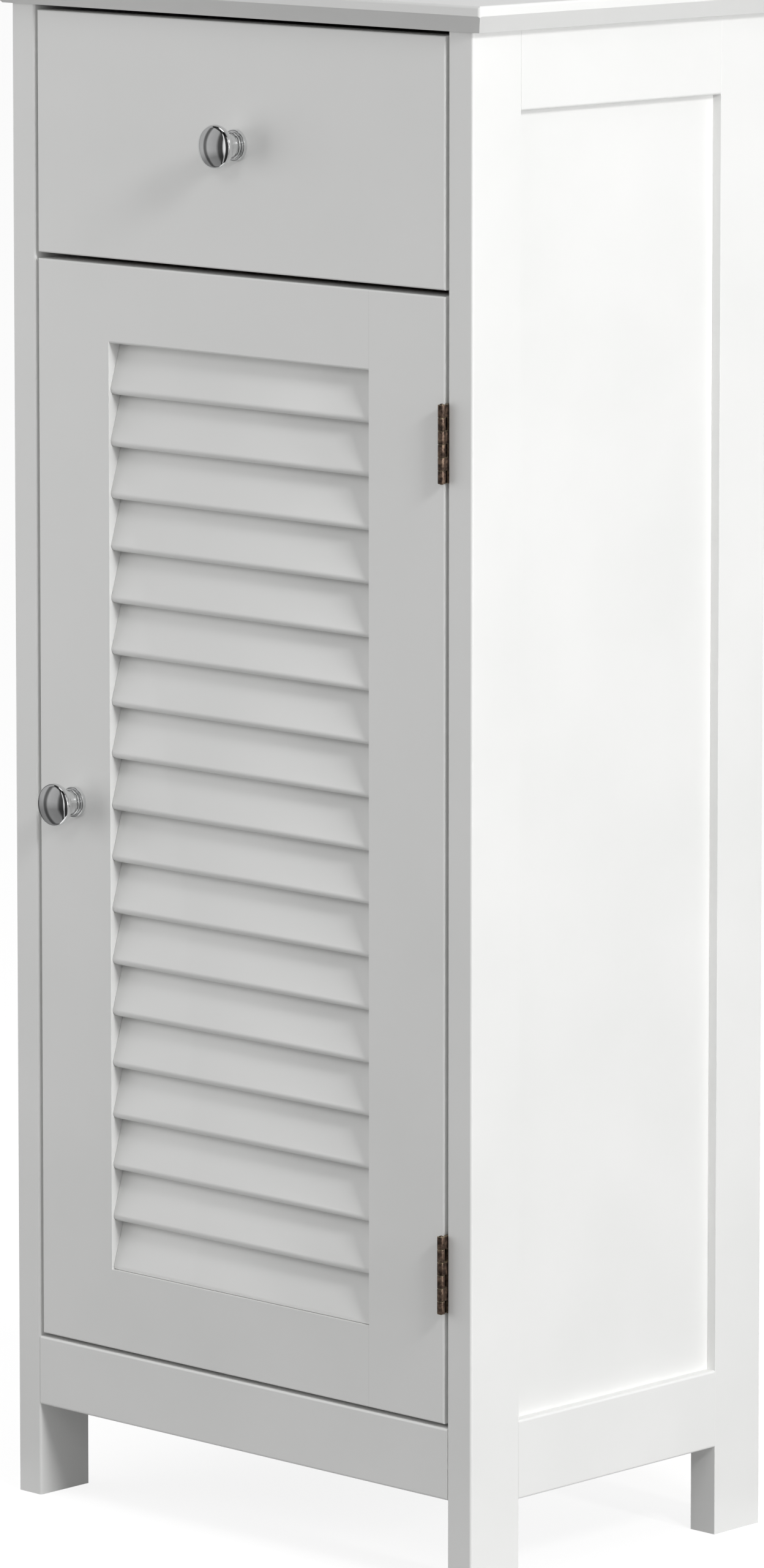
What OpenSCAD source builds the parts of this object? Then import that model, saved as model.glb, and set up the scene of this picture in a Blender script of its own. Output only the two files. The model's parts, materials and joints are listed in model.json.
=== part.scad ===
// Louvred door cabinet: a narrow floor cabinet with one drawer over one louvred door.
// Millimetres. X to the right, Y to the back, Z up. The floor is Z = 0.
// Each side is a frame of two posts and two rails round a thin panel held in grooves.
// The door is two stiles, two rails on stub tenons, and slats housed in slanted mortises.

/* [Carcass] */
// Width over the posts
body_w = 356; // [310:1:460]
// Depth over the posts
body_d = 238; // [210:1:340]
// Height from the floor to the underside of the top
body_h = 855; // [760:1:1000]
// Thickness of the posts and the side rails, seen from the front
post_t = 18; // [16:0.5:24]
// Depth of a post, seen from the side
post_d = 38; // [34:1:50]
// Floor to the underside of the lower side rails
leg_h = 50; // [30:1:70]
// Height of the upper side rails
side_top_rail_h = 44; // [34:1:60]
// Height of the lower side rails
side_bottom_rail_h = 44; // [34:1:60]
// Depth of the side panel's face behind the frame's face
panel_recess = 6; // [3:0.5:8]
// Thickness of the side panels
panel_t = 5; // [3:0.5:6]
// Depth of the grooves that hold the side panels
panel_groove = 6; // [4:0.5:8]
// Radius that the arrises are eased to
ease = 1.4; // [0.5:0.1:1.6]
// Radius that the outer edges of the drawer front and of the door are eased to
front_ease = 0.9; // [0.5:0.1:1.5]
// Radius left on the posts' arrises where the side rails meet them
joint_ease = 0.3; // [0.1:0.1:0.5]

/* [Top] */
// Thickness of the top
top_t = 15; // [12:0.5:22]
// Overhang of the top at each side
top_side_over = 14; // [8:0.5:25]
// Overhang of the top at the front
top_front_over = 9.5; // [8:0.5:20]
// Height of the upright band of the top's edge
top_band_h = 5.5; // [3:0.5:9]
// How far the bevel under the band runs in
top_bevel_in = 8; // [4:0.5:8]
// Radius of the top's upper edge
top_edge_r = 1.5; // [0.5:0.1:3]
// Radius of the top's front corners, seen from above
top_corner_r = 2; // [1:0.5:8]

/* [Boards] */
// Thickness of the bottom board, divider and shelf
board_t = 15; // [12:0.5:18]
// Floor to the underside of the apron
apron_z = 53; // [40:1:70]
// Height of the apron under the door
apron_h = 40; // [36:1:60]
// Thickness of the apron
apron_t = 18; // [12:0.5:18]
// How far the bottom board stands above the apron, as a door stop
stop_lip = 6; // [4:0.5:9]
// Divider's top below the top of the door
divider_drop = 2; // [1:0.5:5]
// Thickness of the back panel
back_t = 3; // [2.5:0.1:5]
// Back panel's distance from the rear of the posts
back_inset = 8; // [5:0.5:12]
// Depth of the back panel's grooves
back_groove = 6; // [4:0.5:8]
// Floor to the underside of the adjustable shelf
shelf_z = 398; // [330:1:450]
// Shelf's distance behind the back of the door
shelf_setback = 8; // [6:1:40]
// Step between the shelf pin holes
pin_step = 32; // [25:1:40]
// Diameter of the shelf pins
pin_d = 5; // [4:0.5:6]
// Diameter of the dowels
dowel_d = 8; // [6:0.5:9]

/* [Drawer and door fronts] */
// Gap between the fronts and the posts
front_gap = 2.5; // [2.3:0.1:3.5]
// Gap between the top and the drawer front
top_gap = 3; // [2:0.1:5]
// Gap between the drawer front and the door
mid_gap = 3.5; // [2:0.1:6]
// Gap between the door and the apron
low_gap = 2.2; // [1.5:0.1:3]
// Height of the drawer front
drawer_front_h = 136.4; // [120:0.1:160]
// Thickness of the drawer front
drawer_front_t = 15; // [14:0.5:18]
// Thickness of the door
door_t = 18; // [18:0.5:22]
// Width of a door stile
stile_w = 56.5; // [45:0.5:70]
// Height of the door's top rail
door_top_rail_h = 44; // [40:0.5:60]
// Height of the door's bottom rail
door_bottom_rail_h = 45.5; // [40:0.5:60]
// Length of a door rail's tenon
tenon_l = 14; // [8:0.5:20]
// Thickness of a door rail's tenon
tenon_t = 6; // [5:0.5:8]

/* [Louvres] */
// Number of slats
slat_count = 18; // [15:1:18]
// Thickness of a slat
slat_t = 6.5; // [5:0.1:6.8]
// Tilt of the slats from upright, in degrees
slat_tilt = 17; // [16:0.5:19]
// How far a slat's top stands above the nose of the next slat
slat_lap = 5; // [3:0.5:6]
// Slat nose's distance behind the face of the door
nose_set = 1.6; // [1.2:0.1:2.2]
// How far the lowest nose would reach below the opening, where it is planed level
nose_drop = 1.8; // [0.5:0.1:2.5]
// Depth of the slat mortises in the stiles
slat_housing = 8; // [5:0.5:10]

/* [Drawer box] */
// Height of the drawer's sides
box_h = 104; // [80:1:108]
// Thickness of the drawer's sides and back
box_t = 12; // [10:0.5:15]
// Drawer box's distance above the lower edge of its front
box_lift = 3; // [1:0.5:6]
// Space between a drawer side and the posts
box_side_gap = 4; // [3:0.5:5]
// Space between the drawer box and the back panel
box_back_gap = 10; // [6:1:30]
// Thickness of the drawer's bottom
box_floor_t = 3; // [2.5:0.5:4]
// Drawer bottom's distance above the lower edge of the sides
box_floor_lift = 8; // [6:0.5:12]
// Depth of the grooves that hold the drawer's bottom
box_floor_groove = 5; // [3:0.5:6]
// Thickness of a runner
runner_t = 9; // [8:0.5:10]
// Height of a runner
runner_h = 15; // [12:0.5:20]

/* [Knobs] */
// Diameter of a knob's head
knob_head_d = 24.5; // [22:0.5:30]
// Projection of a knob
knob_out = 22; // [20:0.5:28]
// Diameter of a knob's foot
knob_foot_d = 17.5; // [14:0.5:19]
// Diameter of a knob's neck
knob_neck_d = 13; // [10:0.5:14]
// Height of a knob's crown above its widest ring
knob_crown = 6; // [5.6:0.1:6.6]
// Radius of the rounded edge of a knob's head
knob_edge_r = 3.5; // [3:0.1:3.8]
// Height of the drawer knob above the centre of the drawer front
drawer_knob_up = 1; // [-20:1:20]
// Height of the door knob above the centre of the door
door_knob_up = 2; // [-80:1:80]

/* [Hinges and catch] */
// Height of a hinge
hinge_h = 43; // [38:1:60]
// Distance from the door's lower end to the lower hinge
hinge_low_end = 62; // [45:0.5:90]
// Distance from the door's upper end to the upper hinge
hinge_up_end = 57.5; // [45:0.5:90]
// Diameter of a hinge barrel
barrel_d = 4.2; // [4:0.1:5]
// Distance from the barrel to the face of the door
barrel_proud = 1.5; // [0.5:0.1:2.5]
// Diameter of a hinge pin
hinge_pin_d = 2.2; // [1.8:0.1:2.4]
// Thickness of a hinge leaf
leaf_t = 1; // [0.8:0.05:1]
// Depth of a hinge leaf in the gap
leaf_d = 14; // [12:0.5:16]
// Number of knuckles in a hinge
knuckles = 6; // [4:2:8]
// Length of the magnetic catch
catch_l = 40; // [34:1:50]
// Catch's distance from the ends of the divider's dowels
catch_in = 7; // [4:1:40]

/* [Clearances] */
// Clearance round tongues, tenons, panels and slats in their housings
fit = 0.1; // [0.05:0.01:0.2]
// Clearance round dowels, screws and pins
bore_fit = 0.05; // [0.02:0.01:0.1]
// Running clearance between the drawer and its runners
slide_fit = 0.5; // [0.3:0.1:0.8]
// Space between the back of the door and what stops it
stop_fit = 0.5; // [0.3:0.1:1]

/* [Hidden] */
$fn = 48;
slats = [for (i = [1 : slat_count]) str("louvre_", i < 10 ? "0" : "", i)];

// Carcass: the origin is on the floor, in the middle of the width and of the depth over the knobs
front_y = (knob_out - body_d) / 2;
back_y = front_y + body_d;
side_x = body_w / 2;
post_x = side_x - post_t;
rail_y0 = front_y + post_d;
rail_y1 = back_y - post_d;
bottom_rail_top = leg_h + side_bottom_rail_h;
top_rail_low = body_h - side_top_rail_h;
panel_x = side_x - panel_recess;
back_face_y = back_y - back_inset - back_t;
stop_y = front_y + door_t + stop_fit;
apron_top = apron_z + apron_h;
bottom_z = apron_top + stop_lip - board_t;
// Rows of dowels, pins and screws, in the middle of the free part of each post
front_row_y = (stop_y + rail_y0 - panel_groove) / 2;
rear_row_y = (back_face_y + rail_y1 + panel_groove) / 2;

// Fronts
front_x = post_x - front_gap;
drawer_front_z1 = body_h - top_gap;
drawer_front_z0 = drawer_front_z1 - drawer_front_h;
door_z1 = drawer_front_z0 - mid_gap;
door_z0 = apron_top + low_gap;
divider_z = door_z1 - divider_drop - board_t;
door_back_y = front_y + door_t;
open_x = front_x - stile_w;
open_z0 = door_z0 + door_bottom_rail_h;
open_z1 = door_z1 - door_top_rail_h;
tenon_shoulder = 8;
tenon_y = front_y + (door_t - tenon_t) / 2;

// Louvres: a slat's section is a bar with two round edges, leaning back from its nose
slat_pitch = (open_z1 - open_z0 + nose_drop) / slat_count;
slat_span = (slat_pitch + slat_lap - slat_t) / cos(slat_tilt);
slat_nose_y = front_y + nose_set + slat_t / 2;
slat_lift = 0.2;

// Drawer box
box_y0 = front_y + drawer_front_t;
box_y1 = back_face_y - box_back_gap;
box_z0 = drawer_front_z0 + box_lift;
box_z1 = box_z0 + box_h;
box_x = post_x - box_side_gap;
box_in_x = box_x - box_t;
box_floor_z = box_z0 + box_floor_lift;
runner_z = (box_z0 + box_z1 - runner_h) / 2;
runner_y0 = box_y0 + 6;
runner_y1 = back_face_y - 1;
runner_x = post_x - runner_t;

// Shelf pins: the collar just reaches the shelf's underside
pin_collar_r = pin_d / 2 + 1;
pin_collar_t = 1.5;
pin_z = shelf_z - pin_collar_r;
pin_shank_l = 7.5;
pin_hole_spare = 1.5;
pin_tongue_l = 9;
pin_tongue_w = pin_d + 2;
pin_tongue_t = 2;
shelf_end_gap = 1;

// Fasteners
dowel_l = 30;
dowel_in_post = 12;
dowel_in_top = 10;
dowel_rows = [apron_z + apron_h / 4, apron_z + apron_h * 3 / 4];
top_dowel_in = 30;
box_dowel_d = 6;
box_dowel_l = 20;
box_dowel_deep = 10;
box_dowel_low = 24;
box_dowel_high = 16;
box_dowel_rows = [box_z0 + box_dowel_low, box_z1 - box_dowel_high];
screw_d = 3;
screw_head_d = 6;
screw_head_l = 1.6;
leaf_screw_d = 2.5;
leaf_screw_head_d = 4.6;
leaf_screw_l = 14;
runner_screw_l = 21;
knob_screw_d = 4;
knob_screw_head_d = 8;
knob_screw_head_l = 2.2;
knob_screw_in = 8;

// Hinges
hinge_x = post_x - front_gap / 2;
barrel_off = barrel_d / 2 + barrel_proud;
hinge_y = front_y - barrel_off;
hinge_low_z = door_z0 + hinge_low_end;
hinge_up_z = door_z1 - hinge_up_end - hinge_h;
hinge_zs = [hinge_low_z, hinge_up_z];
knuckle_h = hinge_h / knuckles;
knuckle_gap = 0.2;
leaf_clear = 0.4;
leaf_row_y = front_y + leaf_d * 0.6;
leaf_screw_zs = [hinge_h * 0.22, hinge_h * 0.78];

// Catch
catch_x = -post_x + dowel_l - dowel_in_post + catch_in + catch_l / 2;
catch_d = 15;
catch_block_l = 22;
catch_block_h = 13;
catch_flange_t = 2.5;
strike_t = 1.2;
strike_w = 20;
strike_h = 11;
strike_corner = 1.5;
strike_gap = 0.4;
catch_y = door_back_y + strike_t + strike_gap;
catch_screw_l = 12;
strike_z = divider_z - catch_block_h / 2 - 1;
prong_l = (door_t - tenon_t) / 2 - 1.2;

// ---- shared shapes ----

// A box between two corners
module block(a, b) {
    translate(a) cube([b[0] - a[0], b[1] - a[1], b[2] - a[2]]);
}

// A rectangle with round corners
module soft_rect(w, d, r) {
    translate([r, 0]) square([w - 2 * r, d]);
    translate([0, r]) square([w, d - 2 * r]);
    for (x = [r, w - r], y = [r, d - r]) translate([x, y]) circle(r);
}

// A bar whose long edges along Z are eased
module bar_z(a, b, r = ease) {
    translate(a) linear_extrude(b[2] - a[2]) soft_rect(b[0] - a[0], b[1] - a[1], r);
}

// A bar whose long edges along X are eased
module bar_x(a, b, r = ease) {
    translate([b[0], a[1], a[2]]) rotate([90, 0, -90])
        mirror([1, 0, 0]) linear_extrude(b[0] - a[0]) soft_rect(b[1] - a[1], b[2] - a[2], r);
}

// A bar whose long edges along Y are eased
module bar_y(a, b) {
    translate([a[0], b[1], a[2]]) rotate([90, 0, 0])
        linear_extrude(b[1] - a[1]) soft_rect(b[0] - a[0], b[2] - a[2], ease);
}

// A flat front whose four outer edges are eased
module front_slab(a, b) {
    intersection() {
        bar_x(a, b, front_ease);
        bar_z(a, b, front_ease);
    }
}

// A round bar from a point, along +X (turn = 1) or -X (turn = -1)
module rod_x(p, r, l, turn) {
    translate(p) rotate([0, turn * 90, 0]) cylinder(r = r, h = l);
}

// A countersunk screw along +Z, its head's flat face at Z = 0 and its shank below
module screw(d, head_d, l, extra) {
    r = d / 2 + extra;
    translate([0, 0, -l - extra]) cylinder(r = r, h = l + extra);
    translate([0, 0, -screw_head_l]) cylinder(r1 = r, r2 = head_d / 2 + extra, h = screw_head_l);
}

// The same screw lying along X, its head at p and facing +X (turn = 1) or -X (turn = -1)
module screw_x(p, d, head_d, l, turn, extra) {
    translate(p) rotate([0, turn * 90, 0]) screw(d, head_d, l, extra);
}

module both_sides() {
    children();
    mirror([1, 0, 0]) children();
}

// ---- carcass ----

// The top: an upright band, a bevel that runs in under it, a softened upper edge and corners
module top_board() {
    hw = side_x + top_side_over;
    y0 = front_y - top_front_over;
    bevel_h = top_t - top_band_h;
    r = top_edge_r;
    color("white") difference() {
        translate([0, 0, body_h]) intersection() {
            translate([0, back_y, 0]) rotate([90, 0, 0]) linear_extrude(back_y - y0) {
                polygon([[-hw + top_bevel_in, 0], [hw - top_bevel_in, 0], [hw, bevel_h],
                    [hw, top_t - r], [hw - r, top_t], [r - hw, top_t], [-hw, top_t - r],
                    [-hw, bevel_h]]);
                for (x = [r - hw, hw - r]) translate([x, top_t - r]) circle(r);
            }
            translate([-hw, 0, 0]) rotate([90, 0, 90]) linear_extrude(2 * hw) {
                polygon([[y0 + top_bevel_in, 0], [back_y, 0], [back_y, top_t],
                    [y0 + r, top_t], [y0, top_t - r], [y0, bevel_h]]);
                translate([y0 + r, top_t - r]) circle(r);
            }
            translate([-hw, y0, 0])
                linear_extrude(top_t) soft_rect(2 * hw, back_y - y0 + 2 * top_corner_r, top_corner_r);
        }
        top_dowels(bore_fit);
    }
}

// A post standing from the origin: its far long edges, beside the rails, stay nearly sharp
module post_bar() {
    linear_extrude(body_h) {
        translate([ease, 0]) square([post_t - 2 * ease, ease]);
        translate([0, ease]) square([post_t, post_d - ease - joint_ease]);
        translate([joint_ease, ease]) square([post_t - 2 * joint_ease, post_d - ease]);
        for (x = [ease, post_t - ease]) translate([x, ease]) circle(ease);
        for (x = [joint_ease, post_t - joint_ease]) translate([x, post_d - joint_ease])
            circle(joint_ease);
    }
}

// The right front post: full height, grooved for the side panel and the rails' tongues
module front_post() {
    color("whitesmoke") difference() {
        translate([post_x, front_y, 0]) post_bar();
        block([panel_x - panel_t - fit, rail_y0 - panel_groove - fit, leg_h - fit],
            [panel_x + fit, rail_y0 + 1, body_h + 1]);
        side_dowels(bore_fit);
        pin_holes();
        runner_screw_set(bore_fit);
    }
}

module rear_post() {
    color("whitesmoke") difference() {
        translate([post_x, back_y, 0]) mirror([0, 1, 0]) post_bar();
        block([panel_x - panel_t - fit, rail_y1 - 1, leg_h - fit],
            [panel_x + fit, rail_y1 + panel_groove + fit, body_h + 1]);
        block([post_x - 1, back_face_y - fit, bottom_z],
            [post_x + back_groove, back_face_y + back_t + fit, body_h + 1]);
        side_dowels(bore_fit);
        pin_holes();
        runner_screw_set(bore_fit);
    }
}

module left_front_post() {
    mirror([1, 0, 0]) front_post();
}

module right_front_post() {
    difference() {
        front_post();
        hinge_post_screw_set(bore_fit);
    }
}

module left_rear_post() {
    mirror([1, 0, 0]) rear_post();
}

module right_rear_post() {
    rear_post();
}

// A side rail: tongues at both ends fill the posts' grooves, one edge is grooved for the panel
module side_rail(z0, z1, groove_z) {
    color("whitesmoke") difference() {
        union() {
            bar_y([post_x, rail_y0, z0], [side_x, rail_y1, z1]);
            block([panel_x - panel_t, rail_y0 - panel_groove, z0],
                [panel_x, rail_y1 + panel_groove, z1]);
        }
        block([panel_x - panel_t - fit, rail_y0 - panel_groove - 1, groove_z - panel_groove - fit],
            [panel_x + fit, rail_y1 + panel_groove + 1, groove_z + panel_groove + fit]);
    }
}

module top_rail() {
    difference() {
        side_rail(top_rail_low, body_h, top_rail_low);
        top_dowels(bore_fit);
    }
}

module bottom_rail() {
    side_rail(leg_h, bottom_rail_top, bottom_rail_top);
}

module right_top_rail() {
    top_rail();
}

module left_top_rail() {
    mirror([1, 0, 0]) top_rail();
}

module right_bottom_rail() {
    bottom_rail();
}

module left_bottom_rail() {
    mirror([1, 0, 0]) bottom_rail();
}

// The thin side panel, its four edges in the grooves of the posts and rails
module side_panel() {
    color("white") block(
        [panel_x - panel_t, rail_y0 - panel_groove, bottom_rail_top - panel_groove],
        [panel_x, rail_y1 + panel_groove, top_rail_low + panel_groove]);
}

module right_side_panel() {
    side_panel();
}

module left_side_panel() {
    mirror([1, 0, 0]) side_panel();
}

module front_apron() {
    color("whitesmoke") difference() {
        bar_x([-post_x, front_y, apron_z], [post_x, front_y + apron_t, apron_top]);
        both_sides() side_dowels(bore_fit);
    }
}

// A board between the side frames, from behind the fronts to the back panel
module board(z) {
    color("gainsboro") difference() {
        bar_x([-post_x, stop_y, z], [post_x, back_face_y - fit, z + board_t]);
        both_sides() side_dowels(bore_fit);
    }
}

module bottom_board() {
    board(bottom_z);
}

module divider_board() {
    difference() {
        board(divider_z);
        catch_screw_set(bore_fit);
    }
}

module back_panel() {
    color("lightgray") block([-post_x - back_groove + fit, back_face_y, bottom_z],
        [post_x + back_groove - fit, back_face_y + back_t, body_h - fit]);
}

module adjustable_shelf() {
    color("gainsboro") bar_x([shelf_end_gap - post_x, stop_y + shelf_setback, shelf_z],
        [post_x - shelf_end_gap, back_face_y - shelf_end_gap, shelf_z + board_t]);
}

// Where the shelf pins' holes are drilled in the right side, three heights at each post
module pin_holes() {
    for (y = [front_row_y, rear_row_y], k = [-1 : 1])
        rod_x([post_x - pin_collar_t, y, pin_z + k * pin_step], pin_d / 2 + bore_fit,
            pin_collar_t + pin_shank_l + pin_hole_spare, 1);
}

// A shelf pin: a round shank in the post, a collar, and a tongue on a rib under the shelf
module shelf_pin(y) {
    rod_x([post_x - pin_collar_t, y, pin_z], pin_d / 2, pin_collar_t + pin_shank_l, 1);
    rod_x([post_x - pin_collar_t, y, pin_z], pin_collar_r, pin_collar_t, 1);
    block([post_x - pin_tongue_l, y - pin_tongue_w / 2, shelf_z - pin_tongue_t],
        [post_x - pin_collar_t / 2, y + pin_tongue_w / 2, shelf_z]);
    translate([0, y + pin_tongue_t / 2, 0]) rotate([90, 0, 0]) linear_extrude(pin_tongue_t)
        polygon([[post_x - pin_tongue_l + 1, shelf_z - pin_tongue_t],
            [post_x - pin_collar_t / 2, pin_z - pin_collar_r * 0.8],
            [post_x - pin_collar_t / 2, shelf_z - pin_tongue_t]]);
}

module shelf_pins() {
    color("white") both_sides() for (y = [front_row_y, rear_row_y]) shelf_pin(y);
}

// ---- dowels ----

// Dowels that enter the right side's posts: apron, bottom board and divider
module side_dowels(extra) {
    r = dowel_d / 2 + extra;
    x = post_x + dowel_in_post + extra;
    l = dowel_l + 2 * extra;
    for (z = dowel_rows) rod_x([x, front_y + apron_t / 2, z], r, l, -1);
    for (z = [bottom_z, divider_z], y = [front_row_y, rear_row_y])
        rod_x([x, y, z + board_t / 2], r, l, -1);
}

// Dowels that stand in the right side's upper rail and enter the top
module top_dowels(extra) {
    both_sides() for (y = [rail_y0 + top_dowel_in, rail_y1 - top_dowel_in])
        translate([side_x - post_t / 2, y, body_h + dowel_in_top + extra - dowel_l - 2 * extra])
            cylinder(r = dowel_d / 2 + extra, h = dowel_l + 2 * extra);
}

module carcass_dowels() {
    color("burlywood") {
        both_sides() side_dowels(0);
        top_dowels(0);
    }
}

// ---- drawer ----

module drawer_front() {
    a = [-front_x, front_y, drawer_front_z0];
    b = [front_x, box_y0, drawer_front_z1];
    color("whitesmoke") difference() {
        front_slab(a, b);
        box_floor_cut();
        both_sides() box_dowels_front(bore_fit);
        drawer_knob_bolt(bore_fit);
    }
}

// The groove round the inside of the box for the drawer's bottom
module box_floor_cut() {
    block([-box_in_x - box_floor_groove - fit, box_y0 - box_floor_groove - fit, box_floor_z - fit],
        [box_in_x + box_floor_groove + fit, box_y1 + 1, box_floor_z + box_floor_t + fit]);
}

// The right side of the box, with its floor groove and the runner's groove outside
module drawer_side() {
    color("gainsboro") difference() {
        bar_y([box_in_x, box_y0, box_z0], [box_x, box_y1, box_z1]);
        box_floor_cut();
        block([runner_x - slide_fit, runner_y0 - slide_fit, runner_z - slide_fit],
            [box_x + 1, box_y1 + 1, runner_z + runner_h + slide_fit]);
        box_dowels_front(bore_fit);
        box_dowels_back(bore_fit);
    }
}

module drawer_right_side() {
    drawer_side();
}

module drawer_left_side() {
    mirror([1, 0, 0]) drawer_side();
}

module drawer_back() {
    color("gainsboro") difference() {
        bar_x([-box_in_x, box_y1 - box_t, box_floor_z + box_floor_t + fit],
            [box_in_x, box_y1, box_z1]);
        both_sides() box_dowels_back(bore_fit);
    }
}

// The drawer's bottom runs in the grooves of the sides and front, under the back
module drawer_bottom() {
    color("lightgray") block(
        [-box_in_x - box_floor_groove, box_y0 - box_floor_groove, box_floor_z],
        [box_in_x + box_floor_groove, box_y1, box_floor_z + box_floor_t]);
}

module box_dowels_front(extra) {
    for (z = box_dowel_rows)
        translate([box_in_x + box_t / 2, box_y0 + box_dowel_deep + extra, z]) rotate([90, 0, 0])
            cylinder(r = box_dowel_d / 2 + extra, h = box_dowel_l + 2 * extra);
}

module box_dowels_back(extra) {
    for (z = box_dowel_rows)
        rod_x([box_x - 3 + extra, box_y1 - box_t / 2, z], box_dowel_d / 2 + extra,
            box_dowel_l + 2 * extra, -1);
}

module drawer_dowels() {
    color("burlywood") both_sides() {
        box_dowels_front(0);
        box_dowels_back(0);
    }
}

// Runners: plain battens screwed to the posts, on which the grooved sides slide
module drawer_runners() {
    color("tan") both_sides() difference() {
        bar_y([runner_x, runner_y0, runner_z], [post_x, runner_y1, runner_z + runner_h]);
        runner_screw_set(bore_fit);
    }
}

module runner_screw_set(extra) {
    for (y = [front_row_y, rear_row_y])
        screw_x([runner_x, y, runner_z + runner_h / 2], screw_d, screw_head_d,
            runner_screw_l, -1, extra);
}

module runner_screws() {
    color("silver") both_sides() runner_screw_set(0);
}

// ---- door ----

// A piece of the door's frame, between two corners seen from the front, with the door's outer
// edges and the opening's front arris eased as on the finished door
module door_member(x0, z0, x1, z1) {
    difference() {
        intersection() {
            front_slab([-front_x, front_y, door_z0], [front_x, door_back_y, door_z1]);
            block([x0, front_y - 1, z0], [x1, door_back_y + 1, z1]);
        }
        opening_ease();
    }
}

// What easing takes off the front arris round the opening: four runs and four round corners
module opening_ease() {
    for (s = [-1, 1]) translate([s * open_x, front_y, open_z0])
        linear_extrude(open_z1 - open_z0) mirror([s < 0 ? 1 : 0, 0]) arris(0.1);
    for (s = [-1, 1]) translate([-open_x, front_y, s < 0 ? open_z0 : open_z1])
        rotate([90, 0, 90]) linear_extrude(2 * open_x) rotate(90) mirror([0, s > 0 ? 1 : 0]) arris(0.1);
    for (x = [-open_x, open_x], z = [open_z0, open_z1])
        translate([x, front_y, z]) rotate([-90, 0, 0]) rotate_extrude() arris(0);
}

// Section that easing takes off: across X from the edge, into the wood along Y
module arris(over) {
    difference() {
        translate([-over, -0.1]) square([ease + over, ease + 0.1]);
        translate([ease, ease]) circle(ease);
    }
}

// A stile with a mortise for each rail's tenon and a slanted one for each slat
module stile(x0, x1) {
    color("whitesmoke") difference() {
        door_member(x0, door_z0, x1, door_z1);
        rail_tenons(door_z0, open_z0, fit);
        rail_tenons(open_z1, door_z1, fit);
        for (i = [1 : slat_count]) slat_bar(i, fit);
    }
}

module door_latch_stile() {
    difference() {
        stile(-front_x, -open_x);
        door_knob_bolt(bore_fit);
        strike_prongs(bore_fit);
    }
}

module door_hinge_stile() {
    difference() {
        stile(open_x, front_x);
        hinge_door_screw_set(bore_fit);
    }
}

module rail_tenons(z0, z1, extra) {
    block([-open_x - tenon_l - extra, tenon_y - extra, z0 + tenon_shoulder - extra],
        [open_x + tenon_l + extra, tenon_y + tenon_t + extra, z1 - tenon_shoulder + extra]);
}

module door_rail(z0, z1) {
    color("whitesmoke") union() {
        door_member(-open_x, z0, open_x, z1);
        rail_tenons(z0, z1, 0);
    }
}

module door_top_rail() {
    door_rail(open_z1, door_z1);
}

module door_bottom_rail() {
    door_rail(door_z0, open_z0);
}

// Section of a slat: nose at the origin, its back edge one span away along Y
module slat_section(r) {
    translate([-r, 0]) square([2 * r, slat_span]);
    circle(r);
    translate([0, slat_span]) circle(r);
}

// Slat i, counted from the top, with its ends housed in the stiles.
// The first one's top and the last one's nose are planed level at the rails.
module slat_bar(i, extra) {
    x = open_x + slat_housing - 0.2 + 2 * extra;
    nose_z = open_z1 - i * slat_pitch + slat_t / 2 + slat_lift;
    intersection() {
        translate([-x, slat_nose_y, nose_z]) rotate([90, 0, 90]) rotate(-slat_tilt)
            linear_extrude(2 * x) slat_section(slat_t / 2 + extra);
        block([-x - 1, front_y - 1, open_z0 + slat_lift - extra],
            [x + 1, door_back_y + 1, open_z1 - slat_lift + extra]);
    }
}

module louvre(i) {
    color("white") slat_bar(i, 0);
}

// ---- knobs ----

// A turned knob on its side: rounded foot, bead, neck with a fillet under the head, and a
// thick round-edged head whose face is a dome tangent to the edge
module knob() {
    foot_r = knob_foot_d / 2;
    neck_r = knob_neck_d / 2;
    foot_h = 3;
    foot_edge = 1;
    bead_r = 1.2;
    ring_z = knob_out - knob_crown;
    ring_r = knob_head_d / 2 - knob_edge_r;
    fillet_r = ring_r - neck_r;
    fillet_z = ring_z - knob_edge_r - fillet_r;
    dome_r = (ring_r * ring_r + knob_crown * knob_crown - knob_edge_r * knob_edge_r)
        / (2 * (knob_crown - knob_edge_r));
    dome_in = dome_r * ring_r / (dome_r - knob_edge_r);
    rotate([90, 0, 0]) rotate_extrude($fn = 72) difference() {
        union() {
            square([foot_r - foot_edge, foot_h]);
            square([foot_r, foot_h - foot_edge]);
            translate([foot_r - foot_edge, foot_h - foot_edge]) circle(foot_edge);
            square([foot_r - 2 * bead_r, foot_h + 2 * bead_r]);
            translate([foot_r - 2 * bead_r, foot_h + bead_r]) circle(bead_r);
            square([neck_r, ring_z]);
            difference() {
                translate([0, fillet_z]) square([ring_r, ring_z - fillet_z]);
                translate([ring_r, fillet_z]) circle(fillet_r);
            }
            translate([ring_r, ring_z]) circle(knob_edge_r);
            intersection() {
                translate([0, knob_out - dome_r]) circle(dome_r);
                translate([0, ring_z]) square([dome_in, knob_crown]);
            }
        }
        square([knob_screw_d / 2 + bore_fit, knob_screw_in + bore_fit]);
    }
}

// A machine screw from behind a front of thickness t, its head behind and its end in the knob
module knob_bolt(t, extra) {
    rotate([90, 0, 0]) {
        translate([0, 0, -t - extra]) cylinder(r = knob_screw_d / 2 + extra,
            h = t + knob_screw_in + extra);
        translate([0, 0, -t - knob_screw_head_l])
            cylinder(r = knob_screw_head_d / 2, h = knob_screw_head_l);
    }
}

drawer_knob_at = [0, front_y, (drawer_front_z0 + drawer_front_z1) / 2 + drawer_knob_up];
door_knob_at = [-(front_x + open_x) / 2, front_y, (door_z0 + door_z1) / 2 + door_knob_up];

module drawer_knob_bolt(extra) {
    translate(drawer_knob_at) knob_bolt(drawer_front_t, extra);
}

module door_knob_bolt(extra) {
    translate(door_knob_at) knob_bolt(door_t, extra);
}

module drawer_knob() {
    color("silver") translate(drawer_knob_at) knob();
}

module door_knob() {
    color("silver") translate(door_knob_at) knob();
}

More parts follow.
